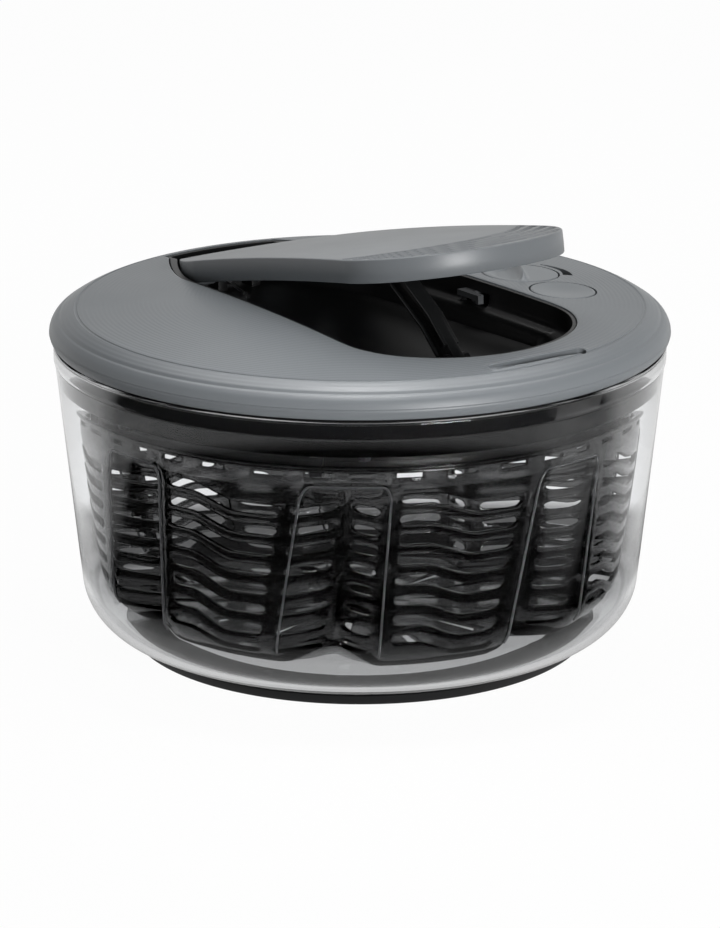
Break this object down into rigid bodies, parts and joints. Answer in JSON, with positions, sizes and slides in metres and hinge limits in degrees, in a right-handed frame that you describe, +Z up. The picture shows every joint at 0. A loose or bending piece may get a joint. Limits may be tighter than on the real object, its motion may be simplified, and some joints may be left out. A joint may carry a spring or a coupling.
{
  "type": "salad spinner",
  "caption": "Lever-driven salad spinner: clear bowl with a slotted basket inside and a domed lid carrying a hinged lever, brake button, lock knob and pour slot.",
  "frame": {"origin": "middle of the foot's underside, on the spin axis", "axes": "+Z up along the spin axis, +X towards the lever's free end, +Y towards the knob and the button"},
  "size_m": [0.264, 0.264, 0.1892],
  "materials": {
    "bowl": "clear gloss plastic",
    "basket": "smoke gloss",
    "lid_grey": "satin",
    "lid_black": "satin",
    "recess_black": "satin",
    "lever_grey": "satin",
    "frame_black": "satin",
    "link_black": "satin",
    "knob_grey": "satin",
    "rubber": "matte",
    "nylon": "satin",
    "steel": "satin"
  },
  "bodies": {
    "bowl": {"bowl": "bowl", "non_slip_ring": "rubber"},
    "lid": {"lid_cover": "lid_grey", "lid_base": "lid_black", "lid_seal": "rubber", "recess_tray": "recess_black", "hinge_pin": "steel", "lever_spring": "steel", "transfer_shaft": "steel", "main_shaft": "steel", "retaining_clip": "steel", "button_spring": "steel", "lid_screw_1": "steel", "lid_screw_2": "steel", "lid_screw_3": "steel", "lid_screw_4": "steel", "lid_screw_5": "steel", "lid_screw_6": "steel"},
    "basket_pivot": {"basket_bearing": "nylon"},
    "basket": {"basket": "basket"},
    "drive": {"drive_hub": "frame_black", "drive_plate": "frame_black", "clutch_pawl_1": "steel", "clutch_pawl_2": "steel", "clutch_pawl_3": "steel", "plate_screw_1": "steel", "plate_screw_2": "steel", "plate_screw_3": "steel"},
    "lever": {"lever_shell": "lever_grey", "lever_frame": "frame_black", "link_pin_upper": "steel", "lever_screw_1": "steel", "lever_screw_2": "steel", "lever_screw_3": "steel", "lever_screw_4": "steel"},
    "link": {"drive_link": "link_black"},
    "rack": {"rack_slider": "nylon", "link_pin_lower": "steel"},
    "transfer": {"transfer_gear": "nylon"},
    "pinion": {"centre_pinion": "nylon"},
    "brake": {"brake_button": "knob_grey", "brake_pad": "rubber"},
    "knob": {"lock_knob": "knob_grey", "knob_crank": "frame_black", "knob_screw": "steel"},
    "bolt": {"lock_bolt": "link_black"}
  },
  "joints": [
    {"name": "lid_lift", "type": "slide", "parent": "bowl", "child": "lid", "axis": [0, 0, 1], "range_m": [0, 0.24]},
    {"name": "basket_lift", "type": "slide", "parent": "bowl", "child": "basket_pivot", "axis": [0, 0, 1], "range_m": [0, 0.12]},
    {"name": "basket_spin", "type": "hinge", "parent": "basket_pivot", "child": "basket", "pos_m": [0, 0, 0.02], "axis": [0, 0, 1], "continuous": true},
    {"name": "drive_spin", "type": "hinge", "parent": "lid", "child": "drive", "pos_m": [0, 0, 0.112], "axis": [0, 0, 1], "continuous": true},
    {"name": "lever_hinge", "type": "hinge", "parent": "lid", "child": "lever", "pos_m": [-0.1034, 0, 0.1375], "axis": [0, 1, 0], "range_deg": [0, 12.1], "stiffness_Nm_per_rad": 0.6, "springref_deg": -34.38},
    {"name": "link_pivot", "type": "hinge", "parent": "lever", "child": "link", "pos_m": [0.01701, 0, 0.16309], "axis": [0, 1, 0], "range_deg": [-42.5, 0.1]},
    {"name": "rack_slide", "type": "slide", "parent": "lid", "child": "rack", "axis": [1, 0, 0], "range_m": [0, 0.0128]},
    {"name": "transfer_spin", "type": "hinge", "parent": "lid", "child": "transfer", "pos_m": [0.024, 0.018, 0.121], "axis": [0, 0, 1], "range_deg": [0, 122]},
    {"name": "pinion_spin", "type": "hinge", "parent": "lid", "child": "pinion", "pos_m": [0, 0, 0.12], "axis": [0, 0, 1], "range_deg": [-486, 0]},
    {"name": "brake_press", "type": "slide", "parent": "lid", "child": "brake", "axis": [-0.0245, -0.0486, -0.9985], "range_m": [0, 0.003], "stiffness_N_per_m": 300, "springref_m": -0.002, "deforming": ["button_spring"]},
    {"name": "knob_turn", "type": "hinge", "parent": "lid", "child": "knob", "pos_m": [0.0066, 0.0812, 0.14794], "axis": [0.0041, 0.0503, 0.9987], "range_deg": [0, 60]},
    {"name": "bolt_slide", "type": "slide", "parent": "lid", "child": "bolt", "axis": [1, 0, 0], "range_m": [0, 0.0061]}
  ],
  "couplings": [
    {"joint": "basket_lift", "follows": "lid_lift", "ratio": 0.5},
    {"joint": "drive_spin", "follows": "basket_spin", "ratio": 1},
    {"joint": "link_pivot", "follows": "lever_hinge", "ratio": -3.5019},
    {"joint": "rack_slide", "follows": "lever_hinge", "m_per_rad": 0.060084},
    {"joint": "transfer_spin", "follows": "lever_hinge", "ratio": 10.014},
    {"joint": "pinion_spin", "follows": "lever_hinge", "ratio": -40.056},
    {"joint": "bolt_slide", "follows": "knob_turn", "m_per_rad": 0.0057296}
  ]
}
